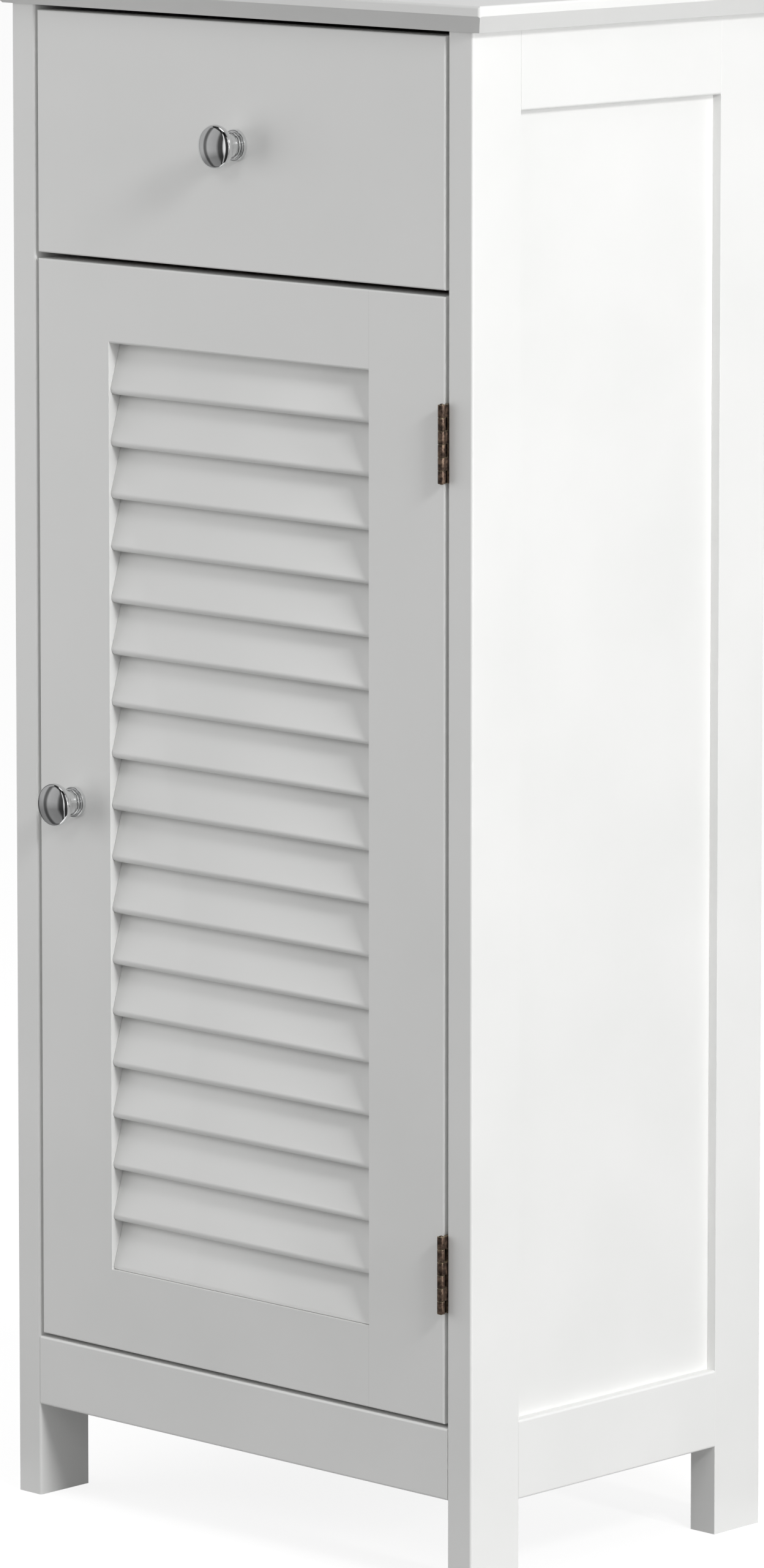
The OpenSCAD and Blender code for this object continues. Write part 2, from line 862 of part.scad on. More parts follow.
module drawer_knob_screw() {
    color("darkgray") drawer_knob_bolt(0);
}

module door_knob_screw() {
    color("darkgray") door_knob_bolt(0);
}

// ---- hinges ----

// One leaf: a plate in the gap and every second knuckle. side = 1 is the post's, -1 the door's.
// The post's leaf has the top knuckle, the door's leaf the bottom one.
module hinge_leaf(z, side) {
    first = side > 0 ? 1 : 0;
    x0 = side > 0 ? front_gap / 2 - leaf_t : -front_gap / 2;
    difference() {
        translate([hinge_x, hinge_y, z]) difference() {
            union() {
                block([x0, barrel_off + leaf_clear, 0],
                    [x0 + leaf_t, barrel_off + leaf_d, hinge_h]);
                for (k = [first : 2 : knuckles - 1]) translate([0, 0, k * knuckle_h]) {
                    translate([0, 0, knuckle_gap / 2])
                        cylinder(r = barrel_d / 2, h = knuckle_h - knuckle_gap);
                    block([x0, 0, knuckle_gap / 2],
                        [x0 + leaf_t, barrel_off + leaf_clear, knuckle_h - knuckle_gap / 2]);
                }
            }
            translate([0, 0, -1]) cylinder(r = hinge_pin_d / 2 + bore_fit, h = hinge_h + 2);
        }
        leaf_screws(z, side, bore_fit);
    }
}

module leaf_screws(z, side, extra) {
    for (dz = leaf_screw_zs)
        screw_x([post_x - (side > 0 ? leaf_t : front_gap - leaf_t), leaf_row_y, z + dz],
            leaf_screw_d, leaf_screw_head_d, leaf_screw_l, -side, extra);
}

module hinge_post_screw_set(extra) {
    for (z = hinge_zs) leaf_screws(z, 1, extra);
}

module hinge_door_screw_set(extra) {
    for (z = hinge_zs) leaf_screws(z, -1, extra);
}

module hinge_post_leaves() {
    color("peru") for (z = hinge_zs) hinge_leaf(z, 1);
}

module hinge_door_leaves() {
    color("peru") for (z = hinge_zs) hinge_leaf(z, -1);
}

module hinge_pins() {
    color("sienna") for (z = hinge_zs) translate([hinge_x, hinge_y, z])
        cylinder(r = hinge_pin_d / 2, h = hinge_h);
}

module hinge_post_screws() {
    color("peru") hinge_post_screw_set(0);
}

module hinge_door_screws() {
    color("peru") hinge_door_screw_set(0);
}

// ---- catch ----

// The magnetic catch under the divider, its flange against the board
module magnetic_catch() {
    color("white") difference() {
        translate([catch_x, catch_y, divider_z]) union() {
            block([-catch_l / 2, 0, -catch_flange_t], [catch_l / 2, catch_d, 0]);
            block([-catch_block_l / 2, 0, -catch_block_h], [catch_block_l / 2, catch_d, 0]);
        }
        catch_screw_set(bore_fit);
    }
}

module catch_screw_set(extra) {
    for (s = [-1, 1])
        translate([catch_x + s * (catch_l + catch_block_l) / 4, catch_y + catch_d / 2,
            divider_z - catch_flange_t])
            rotate([180, 0, 0]) screw(screw_d, screw_head_d, catch_screw_l, extra);
}

module catch_screws() {
    color("silver") catch_screw_set(0);
}

// The steel strike plate on the back of the door, with two driven prongs
module strike_plate() {
    color("silver") {
        translate([catch_x - strike_w / 2, door_back_y + strike_t, strike_z - strike_h / 2])
            rotate([90, 0, 0]) linear_extrude(strike_t) soft_rect(strike_w, strike_h, strike_corner);
        strike_prongs(0);
    }
}

module strike_prongs(extra) {
    for (s = [-1, 1])
        translate([catch_x + s * strike_w / 3, door_back_y + 0.5, strike_z]) rotate([90, 0, 0])
            cylinder(r = 1 + extra, h = prong_l + 0.5 + extra);
}

top_board();
left_front_post();
right_front_post();
left_rear_post();
right_rear_post();
left_top_rail();
right_top_rail();
left_bottom_rail();
right_bottom_rail();
left_side_panel();
right_side_panel();
front_apron();
bottom_board();
divider_board();
back_panel();
adjustable_shelf();
shelf_pins();
drawer_runners();
runner_screws();
carcass_dowels();
hinge_post_leaves();
hinge_pins();
hinge_post_screws();
magnetic_catch();
catch_screws();
drawer_front();
drawer_left_side();
drawer_right_side();
drawer_back();
drawer_bottom();
drawer_dowels();
drawer_knob();
drawer_knob_screw();
door_latch_stile();
door_hinge_stile();
door_top_rail();
door_bottom_rail();
hinge_door_leaves();
hinge_door_screws();
door_knob();
door_knob_screw();
strike_plate();
for (i = [1 : slat_count]) louvre(i);
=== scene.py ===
import json
import math

import bpy
import numpy as np
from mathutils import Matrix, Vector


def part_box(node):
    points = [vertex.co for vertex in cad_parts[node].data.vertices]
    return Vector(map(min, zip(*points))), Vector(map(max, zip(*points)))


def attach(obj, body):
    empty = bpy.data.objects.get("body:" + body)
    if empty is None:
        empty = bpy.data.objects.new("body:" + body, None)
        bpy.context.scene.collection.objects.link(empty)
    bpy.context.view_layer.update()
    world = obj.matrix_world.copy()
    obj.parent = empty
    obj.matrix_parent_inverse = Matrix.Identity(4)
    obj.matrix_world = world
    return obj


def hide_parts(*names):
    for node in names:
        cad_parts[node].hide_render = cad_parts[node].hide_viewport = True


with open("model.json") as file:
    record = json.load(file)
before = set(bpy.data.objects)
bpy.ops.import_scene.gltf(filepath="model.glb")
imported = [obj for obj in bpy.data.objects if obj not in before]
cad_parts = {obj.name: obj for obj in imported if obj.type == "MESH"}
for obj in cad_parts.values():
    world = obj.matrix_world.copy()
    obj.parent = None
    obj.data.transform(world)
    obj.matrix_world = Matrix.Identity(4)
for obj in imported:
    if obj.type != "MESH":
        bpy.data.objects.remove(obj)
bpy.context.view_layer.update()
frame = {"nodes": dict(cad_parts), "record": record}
nodes = frame["nodes"]
slotOf = {entry["node"]: entry["material_slot"] for entry in frame["record"]["subparts"]}
bodyOf = {name: body for body, members in frame["record"]["behaviour"]["bodies"].items() for name in members}
mm = 0.001  # shapes below are worked out in millimetres and put into the meshes in metres
fineSteps = 1000  # corners of the solids are read on a grid of so many steps a millimetre
weldSteps = 5000  # points of the new skins are joined on a finer one
print("frame loaded:", len(nodes), "nodes")


# Lowest and highest corner of a node in millimetres
def boxOf(name):
    low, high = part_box(name)
    return np.array(low) / mm, np.array(high) / mm


# The middle of a node along one axis, in metres
def middleOf(name, axis):
    low, high = boxOf(name)
    return low[axis] * mm / 2 + high[axis] * mm / 2


# The separate solids of a node, each as an array of its points in millimetres.
# Equal corners are joined first, then every triangle pulls its corners to their lowest label.
def solidsOf(name):
    mesh = nodes[name].data
    points = np.zeros(len(mesh.vertices) * 3)
    mesh.vertices.foreach_get("co", points)
    points = points.reshape(-1, 3) / mm
    mesh.calc_loop_triangles()
    corners = np.zeros(len(mesh.loop_triangles) * 3, np.int64)
    mesh.loop_triangles.foreach_get("vertices", corners)
    places, same = np.unique(np.round(points * fineSteps).astype(np.int64), axis=0, return_inverse=True)
    triangles = same.reshape(-1)[corners].reshape(-1, 3)
    label = np.arange(len(places))
    while True:
        lowest = label[triangles].min(1)
        pulled = label.copy()
        np.minimum.at(pulled, triangles.ravel(), np.repeat(lowest, 3))
        pulled = pulled[pulled]
        if (pulled == label).all():
            break
        label = pulled
    return [places[label == one] / fineSteps for one in np.unique(label)]


# The corners of a solid's box, the axis of its long way and the two other axes
def longWay(points):
    low, high = points.min(0), points.max(0)
    k = int(np.argmax(high - low))
    return low, high, k, [j for j in range(3) if j != k]


# How wide a solid is on the axis across, among its points within reach of a level on the axis along
def widthNear(points, along, level, reach, across):
    near = points[np.abs(points[:, along] - level) < reach]
    return near[:, across].max() - near[:, across].min()


# Faces of a grid of rows by columns, as quads; the columns close into a ring unless told not to
def gridFaces(rows, columns, ring=True):
    row = np.arange(rows - 1)[:, None] * columns
    column = np.arange(columns if ring else columns - 1)[None, :]
    beside = (column + 1) % columns
    corners = [row + column, row + beside, row + columns + beside, row + columns + column]
    return np.stack(np.broadcast_arrays(*corners), -1).reshape(-1, 4)


# One closed skin from points and quads: equal points are joined, so a row drawn in to one point
# becomes a pole, and the faces are turned to give a positive volume.
def welded(flat, faces, marks):
    keys = np.round(flat * weldSteps).astype(np.int64)
    _, first, same = np.unique(keys, axis=0, return_index=True, return_inverse=True)
    faces = same.reshape(-1)[faces]
    flat = flat[first]
    doubled = faces == np.roll(faces, -1, axis=1)
    count = doubled.sum(1)
    quads = faces[count == 0]
    triangles = faces[count == 1][~doubled[count == 1]].reshape(-1, 3)
    fans = np.concatenate([quads[:, [0, 1, 2]], quads[:, [0, 2, 3]], triangles])
    a, b, c = flat[fans[:, 0]], flat[fans[:, 1]], flat[fans[:, 2]]
    if np.einsum("ij,ij->i", a, np.cross(b, c)).sum() < 0:
        quads, triangles = quads[:, ::-1], triangles[:, ::-1]
    return {"points": flat, "quads": quads, "triangles": triangles, "marks": marks[first]}


# A skin from a grid of points (rows, columns, 3), closed at both ends by drawing the first and
# last row in to their middles. A row a little inside each end keeps the flat part's shading flat.
def closed(points, mark=0.0):
    inset = 0.05
    start = np.broadcast_to(points[0].mean(0), points[0].shape)
    end = np.broadcast_to(points[-1].mean(0), points[-1].shape)
    inStart = (1 - inset) * points[0] + inset * start
    inEnd = (1 - inset) * points[-1] + inset * end
    grid = np.stack([start, inStart, *points, inEnd, end])
    marks = np.broadcast_to(mark, points.shape[:2])
    marks = np.concatenate([marks[:1], marks[:1], marks, marks[-1:], marks[-1:]])
    return welded(grid.reshape(-1, 3), gridFaces(*grid.shape[:2]), marks.ravel())


# Skins joined into one object at the origin, riding on its body
def putPiece(name, skins, body, material, stands=(), sharp=35):
    starts = np.cumsum([0] + [len(s["points"]) for s in skins])
    faces = []
    for start, s in zip(starts, skins):
        faces += (s["quads"] + start).tolist() + (s["triangles"] + start).tolist()
    mesh = bpy.data.meshes.new(name)
    mesh.from_pydata(np.concatenate([s["points"] for s in skins]) * mm, [], faces)
    mesh.update()
    mesh.shade_smooth()
    mesh.set_sharp_from_angle(angle=math.radians(sharp))
    rubbed = mesh.attributes.new("rubbed", "FLOAT", "POINT")
    rubbed.data.foreach_set("value", np.concatenate([s["marks"] for s in skins]).astype(np.float32))
    piece = bpy.data.objects.new(name, mesh)
    bpy.context.scene.collection.objects.link(piece)
    mesh.materials.append(material)
    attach(piece, body)
    if stands:
        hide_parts(*stands)


# Skins that take the place of one node, with its own body, slot and finish
def standIn(node, name, skins, sharp=35):
    slotName = slotOf[node]
    putPiece(name, skins, bodyOf[node], finishes[slotName], [node], sharp)


# Points of an arc: centre plus radius times the cosine and sine of each angle, in degrees
def arc(cx, cy, radius, start, end, count):
    angle = np.radians(np.linspace(start, end, count))
    return np.stack([cx + radius * np.cos(angle), cy + radius * np.sin(angle)], -1)


# Directions square to an axis, one a turn: the turn's cosine times side plus its sine times up
def spokes(turn, side, up):
    return np.cos(turn)[:, None] * np.array(side, float) + np.sin(turn)[:, None] * np.array(up, float)


# A turned form: at each point (radius, height) of the profile a ring of that radius stands
# round the axis at that height. side and up are two directions square to the axis.
def turned(profile, base, axis, side, up, count):
    ring = spokes(np.linspace(0, 2 * np.pi, count, endpoint=False), side, up)
    profile = np.asarray(profile, float)
    radius, height = profile[:, 0, None, None], profile[:, 1, None, None]
    return np.array(base) + height * np.array(axis, float) + radius * ring


# A rectangle with round corners as a ring of points and the outward direction at each:
# the direction goes round once, and each point is its quarter's corner centre plus radius times it.
def softRectangle(width, depth, radius, count=5):
    turn = np.radians(np.linspace(0, 90, count))
    angle = (turn[None, :] + np.radians([0, 90, 180, 270])[:, None]).ravel()
    outward = np.stack([np.cos(angle), np.sin(angle)], -1)
    signs = np.repeat(np.array([[1, 1], [-1, 1], [-1, -1], [1, -1]]), count, axis=0)
    corner = signs * (np.array([width, depth]) / 2 - radius)
    return corner + radius * outward, outward


# A flat ring carried along an axis between two heights, its ends rounded over: each row is
# the ring drawn in along its outward directions by the edge's radius times one minus a sine.
def carried(ring, outward, low, high, edge, steps=4):
    turn = np.radians(np.linspace(0, 90, steps))
    drawnIn = edge * (1 - np.sin(turn))
    height = np.concatenate([low + edge * (1 - np.cos(turn)), high - edge * (1 - np.cos(turn[::-1]))])
    inset = np.concatenate([drawnIn, drawnIn[::-1]])
    flat = ring[None] - inset[:, None, None] * outward[None]
    tall = np.broadcast_to(height[:, None, None], flat.shape[:2] + (1,))
    return np.concatenate([flat, tall], -1)


# A block between two corners with all its edges rounded, the upright ones by corner, the rest by edge
def softBlock(low, high, corner, edge):
    low, high = np.array(low, float), np.array(high, float)
    ring, outward = softRectangle(high[0] - low[0], high[1] - low[1], corner)
    points = carried(ring, outward, low[2], high[2], edge)
    points[..., :2] += (low[:2] + high[:2]) / 2
    return closed(points)


# A node with its settings, fixed input values and links from other sockets
def put(tree, kind, values=None, links=None, **settings):
    made = tree.nodes.new("ShaderNode" + kind)
    for key, value in settings.items():
        setattr(made, key, value)
    for key, value in (values or {}).items():
        made.inputs[key].default_value = value
    for key, socket in (links or {}).items():
        tree.links.new(socket, made.inputs[key])
    return made


# A finish with its shader; the fixed values go straight onto the shader's own sockets
def newFinish(name, **values):
    material = bpy.data.materials.new(name)
    material.use_nodes = True
    tree = material.node_tree
    shader = tree.nodes["Principled BSDF"]
    for key, value in values.items():
        shader.inputs[key.replace("_", " ")].default_value = value
    place = put(tree, "TexCoord").outputs["Object"]
    return material, tree, shader, place


# A material with an empty node tree, for what stands round the cabinet
def emptyFinish(name):
    material = bpy.data.materials.new(name)
    material.use_nodes = True
    material.node_tree.nodes.clear()
    return material, material.node_tree


# An even grey with its fourth value
def grey(tone):
    return (tone, tone, tone, 1)


# A place squeezed or drawn out by a scale for each axis
def stretched(tree, place, scale):
    return put(tree, "Mapping", {"Scale": scale}, {"Vector": place}).outputs["Vector"]


# A cloudy noise between 0 and 1: scale is how often it turns in a metre, detail its finer layers
def noise(tree, place, scale, detail=2.0, rough=0.5):
    values = {"Scale": scale, "Detail": detail, "Roughness": rough}
    return put(tree, "TexNoise", values, {"Vector": place}).outputs["Fac"]


# A number between low and high as a socket goes from one value to another
def ranged(tree, socket, fromLow, fromHigh, low, high):
    values = {"From Min": fromLow, "From Max": fromHigh, "To Min": low, "To Max": high}
    return put(tree, "MapRange", values, {"Value": socket}).outputs["Result"]


# A socket's part between two values, stretched to run from 0 to 1; the two suit most noises
def spread(tree, socket, low=0.3, high=0.7):
    return ranged(tree, socket, low, high, 0, 1)


# A mix of two colours, each a tuple or a socket, which the mixing node takes at 6 and 7
def blended(tree, share, first, second):
    links = {"Factor": share}
    values = {}
    for key, colour in ((6, first), (7, second)):
        if isinstance(colour, tuple):
            values[key] = (*colour, 1)
        else:
            links[key] = colour
    return put(tree, "Mix", values, links, data_type="RGBA").outputs[2]


# Arithmetic on sockets; each term is a socket or a fixed number
def worked(tree, operation, *terms):
    values = {k: term for k, term in enumerate(terms) if isinstance(term, float)}
    links = {k: term for k, term in enumerate(terms) if k not in values}
    return put(tree, "Math", values, links, operation=operation).outputs[0]


# The first socket plus a share of the second
def summed(tree, first, second, share):
    return worked(tree, "ADD", first, worked(tree, "MULTIPLY", second, share))


# Relief on a shader from a height, which counts for distance in metres
def bumped(tree, shader, height, distance, strength):
    values = {"Strength": strength, "Distance": distance}
    made = put(tree, "Bump", values, {"Height": height})
    tree.links.new(made.outputs["Normal"], shader.inputs["Normal"])


# A socket led into one of the shader's own
def wire(tree, socket, shader, name):
    tree.links.new(socket, shader.inputs[name])


# Sprayed satin paint on sanded fibreboard: a cloudy tint, orange peel, fine nibs. Where the right
# end of a piece meets another at reach from the middle, the paint has sunk into a hairline.
def whitePaint(name, reach=None):
    paint = dict(low=(0.845, 0.848, 0.836), high=(0.872, 0.872, 0.862), peel=520.0, nib=2600.0, cloud=11.0,
                 rough=(0.38, 0.52), relief=0.05 * mm, hairline=0.4 * mm, sunk=(0.76, 0.76, 0.75))
    material, tree, shader, place = newFinish(name, Coat_Weight=0.12, Coat_Roughness=0.3)
    cloud = noise(tree, place, paint["cloud"], 3.0)
    peel = noise(tree, place, paint["peel"], 1.0)
    nib = noise(tree, place, paint["nib"])
    colour = blended(tree, spread(tree, cloud), paint["low"], paint["high"])
    if reach:
        across = put(tree, "SeparateXYZ", links={"Vector": place}).outputs["X"]
        line = spread(tree, across, reach - paint["hairline"], reach - paint["hairline"] / 3)
        colour = blended(tree, line, colour, paint["sunk"])
    wire(tree, colour, shader, "Base Color")
    wire(tree, ranged(tree, summed(tree, cloud, nib, 0.5), 0.5, 1.0, *paint["rough"]), shader, "Roughness")
    bumped(tree, shader, summed(tree, peel, nib, 0.3), paint["relief"], 0.35)
    return material


# Paper-faced board inside: flatter and a little greyer, with a printed fine grain along y
def innerBoard():
    board = dict(low=(0.79, 0.792, 0.775), high=(0.835, 0.832, 0.815), grain=(420.0, 60.0, 420.0),
                 speck=1800.0, rough=(0.5, 0.62), relief=0.04 * mm)
    material, tree, shader, place = newFinish("innerBoard")
    grain = noise(tree, stretched(tree, place, board["grain"]), 1.0, 3.0)
    speck = noise(tree, place, board["speck"])
    share = spread(tree, summed(tree, grain, speck, 0.4), 0.4, 1.0)
    wire(tree, blended(tree, share, board["low"], board["high"]), shader, "Base Color")
    wire(tree, ranged(tree, speck, 0.3, 0.7, *board["rough"]), shader, "Roughness")
    bumped(tree, shader, summed(tree, speck, grain, 0.5), board["relief"], 0.3)
    return material


# Hardboard: white lacquer on the face, brown pressed fibre with a wire screen's print behind.
# axis is the way through the sheet and middle its middle in metres. The print is the product of
# two sines, one along each other axis.
def hardboard(name, axis, middle, whiteSide):
    board = dict(white=(0.82, 0.822, 0.805), shade=0.96, dark=(0.2, 0.11, 0.055), light=(0.36, 0.22, 0.12),
                 fibre=240.0, screen=2300.0, cloud=30.0, change=0.2 * mm, rough=(0.45, 0.8), relief=0.1 * mm)
    material, tree, shader, place = newFinish(name)
    parts = put(tree, "SeparateXYZ", links={"Vector": place})
    brownShare = (0, 1) if whiteSide < 0 else (1, 0)
    through = parts.outputs[axis]
    behind = ranged(tree, through, middle - board["change"], middle + board["change"], *brownShare)
    fibre = noise(tree, place, board["fibre"], 6.0, 0.7)
    across = [parts.outputs[k] for k in range(3) if k != axis]
    waves = [worked(tree, "SINE", worked(tree, "MULTIPLY", socket, board["screen"])) for socket in across]
    screen = worked(tree, "MULTIPLY", *waves)
    brown = blended(tree, spread(tree, fibre), board["dark"], board["light"])
    cloud = spread(tree, noise(tree, place, board["cloud"], 3.0))
    white = blended(tree, cloud, board["white"], tuple(board["shade"] * c for c in board["white"]))
    wire(tree, blended(tree, behind, white, brown), shader, "Base Color")
    wire(tree, ranged(tree, behind, 0, 1, *board["rough"]), shader, "Roughness")
    printed = worked(tree, "MULTIPLY", screen, behind)
    bumped(tree, shader, summed(tree, fibre, printed, 0.5), board["relief"], 0.4)
    return material


# Wood with its grain along one axis: long streaks, fine pores and a slow change of tone
def grainedWood(name, dark, light, along):
    wood = dict(drawnOut=0.06, streak=230.0, pore=1500.0, tone=40.0, rough=(0.45, 0.62), relief=0.12 * mm)
    material, tree, shader, place = newFinish(name)
    squash = [1.0, 1.0, 1.0]
    squash[along] = wood["drawnOut"]
    drawn = stretched(tree, place, squash)
    streak = noise(tree, drawn, wood["streak"], 5.0, 0.65)
    pores = noise(tree, drawn, wood["pore"])
    tone = noise(tree, drawn, wood["tone"])
    share = spread(tree, summed(tree, summed(tree, streak, pores, 0.35), tone, 0.4), 0.5, 1.2)
    wire(tree, blended(tree, share, dark, light), shader, "Base Color")
    wire(tree, ranged(tree, pores, 0.3, 0.7, *wood["rough"]), shader, "Roughness")
    bumped(tree, shader, summed(tree, streak, pores, 0.6), wood["relief"], 0.4)
    return material


# Chrome plate: polished, with a slow waviness from the casting and a faint film of fingermarks
def chromePlate():
    chrome = dict(low=(0.78, 0.786, 0.79), high=(0.83, 0.836, 0.84), film=160.0, wave=110.0,
                  rough=(0.03, 0.1), relief=0.1 * mm)
    material, tree, shader, place = newFinish("chromePlate", Metallic=1.0)
    film = noise(tree, place, chrome["film"], 4.0, 0.6)
    wave = noise(tree, place, chrome["wave"], 1.0)
    wire(tree, blended(tree, spread(tree, film, 0.35), chrome["low"], chrome["high"]), shader, "Base Color")
    wire(tree, ranged(tree, film, 0.3, 0.75, *chrome["rough"]), shader, "Roughness")
    bumped(tree, shader, wave, chrome["relief"], 0.15)
    return material


# Antiqued brass: a brown-black film, worn to redder and yellower metal where things rub
def antiqueBrass():
    brass = dict(dark=(0.055, 0.038, 0.03), mid=(0.2, 0.135, 0.1), rubbed=(0.44, 0.37, 0.26),
                 patch=420.0, fine=2200.0, rough=(0.3, 0.6), relief=0.08 * mm)
    material, tree, shader, place = newFinish("antiqueBrass", Metallic=0.85)
    patch = noise(tree, place, brass["patch"], 4.0, 0.65)
    fine = noise(tree, place, brass["fine"])
    rubbed = put(tree, "Attribute", attribute_name="rubbed").outputs["Fac"]
    ground = blended(tree, spread(tree, patch, 0.38, 0.62), brass["dark"], brass["mid"])
    worn = spread(tree, summed(tree, rubbed, patch, 0.9), 0.75, 1.35)
    wire(tree, blended(tree, worn, ground, brass["rubbed"]), shader, "Base Color")
    wire(tree, ranged(tree, summed(tree, patch, fine, 0.5), 0.4, 1.1, *brass["rough"]), shader, "Roughness")
    bumped(tree, shader, summed(tree, patch, fine, 0.5), brass["relief"], 0.5)
    return material


# Plated steel: a bright coat with cloudy tints and a brushed or tumbled surface
def platedSteel(name, cool, warm, brush, rough):
    plate = dict(cloud=260.0, relief=0.03 * mm)
    material, tree, shader, place = newFinish(name, Metallic=1.0)
    lines = noise(tree, stretched(tree, place, brush), 1.0, 3.0)
    cloud = noise(tree, place, plate["cloud"], 3.0)
    wire(tree, blended(tree, spread(tree, cloud, 0.35, 0.65), cool, warm), shader, "Base Color")
    wire(tree, ranged(tree, summed(tree, cloud, lines, 0.6), 0.5, 1.1, *rough), shader, "Roughness")
    bumped(tree, shader, lines, plate["relief"], 0.35)
    return material


# Moulded plastic: an even colour with a fine spark-eroded grain and slight flow clouds
def mouldedPlastic(name, low, high, rough=(0.42, 0.55)):
    plastic = dict(flow=70.0, grain=3200.0, relief=0.03 * mm)
    material, tree, shader, place = newFinish(name)
    flow = noise(tree, place, plastic["flow"])
    grain = noise(tree, place, plastic["grain"])
    wire(tree, blended(tree, spread(tree, flow), low, high), shader, "Base Color")
    wire(tree, ranged(tree, grain, 0.3, 0.7, *rough), shader, "Roughness")
    bumped(tree, shader, grain, plastic["relief"], 0.3)
    return material


zinc = dict(cool=(0.58, 0.6, 0.63), warm=(0.68, 0.66, 0.58), brush=(900.0, 900.0, 900.0), rough=(0.25, 0.42))
nickel = dict(cool=(0.56, 0.56, 0.56), warm=(0.64, 0.63, 0.61), brush=(60.0, 900.0, 2600.0),
              rough=(0.22, 0.4))
finishes = {
    "white_paint": whitePaint("whitePaint"),
    "inner_board": innerBoard(),
    "hardboard_white": hardboard("backHardboard", 1, middleOf("back_panel", 1), -1),
    "runner_wood": grainedWood("runnerWood", (0.5, 0.33, 0.19), (0.74, 0.57, 0.39), 1),
    "dowel_wood": grainedWood("dowelWood", (0.55, 0.37, 0.21), (0.78, 0.6, 0.4), 0),
    "chrome": chromePlate(),
    "antique_brass": antiqueBrass(),
    "zinc_screw": platedSteel("zincScrew", **zinc),
    "strike_steel": platedSteel("strikeSteel", **nickel),
    "white_plastic": mouldedPlastic("whitePlastic", (0.8, 0.8, 0.78), (0.85, 0.85, 0.83)),
    "ferrite": mouldedPlastic("ferriteMagnet", (0.045, 0.045, 0.05), (0.075, 0.075, 0.08), (0.55, 0.7)),
}
railEnd = boxOf("door_hinge_stile")[0][0] * mm
ownFinish = {
    "door_top_rail": whitePaint("door_top_rail_paint", railEnd),
    "door_bottom_rail": whitePaint("door_bottom_rail_paint", railEnd),
    "drawer_bottom": hardboard("floorHardboard", 2, middleOf("drawer_bottom", 2), 1),
}
for name, slotName in slotOf.items():
    materials = nodes[name].data.materials
    materials.clear()
    materials.append(ownFinish.get(name, finishes[slotName]))
print("finishes made:", len(finishes) + len(ownFinish))


slat = dict(thickness=6.5, tilt=17.0, roundSteps=14, paintEdge=0.25, edgeSteps=3)


# A slat's outline is a bar with two half-round edges, leaning back by the tilt. Its length
# along the lean is cut where it would pass the highest and lowest level that the solid reaches.
# The last slat's nose is cut away, so its nose is found from its top edge.
def slatPiece(name, whole, front, last):
    low, high = boxOf(name)
    radius = slat["thickness"] / 2
    lean = math.radians(slat["tilt"])
    span = (whole - 2 * radius) / math.cos(lean)
    nose = np.array([front + radius, (high[2] - whole if last else low[2]) + radius])
    steps = slat["roundSteps"]
    outline = np.concatenate([arc(0, 0, radius, 180, 360, steps), arc(0, span, radius, 0, 180, steps)])
    outward = (outline - np.repeat([[0.0, 0.0], [0.0, span]], steps, axis=0)) / radius
    rise = outline[:, 0] * math.sin(lean)
    ceiling = (high[2] - nose[1] + rise) / math.cos(lean)
    ground = (low[2] - nose[1] + rise) / math.cos(lean)
    outline[:, 1] = np.clip(outline[:, 1], ground, ceiling)
    rows = carried(outline, outward, low[0], high[0], slat["paintEdge"], slat["edgeSteps"])
    across, along, x = rows[..., 0], rows[..., 1], rows[..., 2]
    y = nose[0] + across * math.cos(lean) + along * math.sin(lean)
    z = nose[1] - across * math.sin(lean) + along * math.cos(lean)
    standIn(name, name.replace("louvre", "slat"), [closed(np.stack([x, y, z], -1))])


slatNames = sorted(name for name in nodes if name.startswith("louvre_"))
fullSlat = max(boxOf(name)[1][2] - boxOf(name)[0][2] for name in slatNames)
slatFront = min(boxOf(name)[0][1] for name in slatNames)
for name in slatNames:
    slatPiece(name, fullSlat, slatFront, name == slatNames[-1])
print("slats made:", len(slatNames))


knob = dict(foot=3.0, footEdge=1.0, heel=0.3, bead=1.2, neck=6.5, step=0.1, crown=6.0, edge=3.5,
            steps=26, round=96, slice=0.5)


# The knob's profile as (radius, height) pairs from the back to the face: a foot with a rounded
# edge, a bead, a neck with a fillet under the head, the head's round edge, and a dome whose
# sphere touches that edge from inside.
def knobProfile(headR, footR, out):
    foot, footEdge, heel, bead = knob["foot"], knob["footEdge"], knob["heel"], knob["bead"]
    neck, edge, crown, steps = knob["neck"], knob["edge"], knob["crown"], knob["steps"]
    ringZ, ringR = out - crown, headR - edge
    fillet = ringR - neck
    dome = (ringR ** 2 + crown ** 2 - edge ** 2) / (2 * (crown - edge))
    touch = math.degrees(math.atan2(ringZ - (out - dome), ringR))
    parts = [
        [[0, 0], [footR - heel, 0]],
        arc(footR - heel, heel, heel, -60, 0, 4),
        arc(footR - footEdge, foot - footEdge, footEdge, 0, 80, 8),
        arc(footR - 2 * bead, foot + bead, bead, -80, 80, 12),
        [[neck, foot + 2 * bead + knob["step"]]],
        arc(ringR, ringZ - edge - fillet, fillet, 180, 95, steps // 2),
        arc(ringR, ringZ, edge, -85, touch, steps),
        arc(0, out - dome, dome, touch, 90, steps)[1:],
    ]
    return np.concatenate([np.asarray(part, float) for part in parts])


# A knob turned about the line out of its foot's middle, its head and foot as wide as the solid's
def knobPiece(name):
    low, high = boxOf(name)
    headR = (high[0] - low[0]) / 2
    footR = widthNear(np.concatenate(solidsOf(name)), 1, high[1], knob["slice"], 0) / 2
    base = [(low[0] + high[0]) / 2, high[1], (low[2] + high[2]) / 2]
    profile = knobProfile(headR, footR, high[1] - low[1])
    form = turned(profile, base, (0, -1, 0), (1, 0, 0), (0, 0, 1), knob["round"])
    standIn(name, name + "_turned", [closed(form)], 50)


knobPiece("drawer_knob")
knobPiece("door_knob")
print("knobs turned")


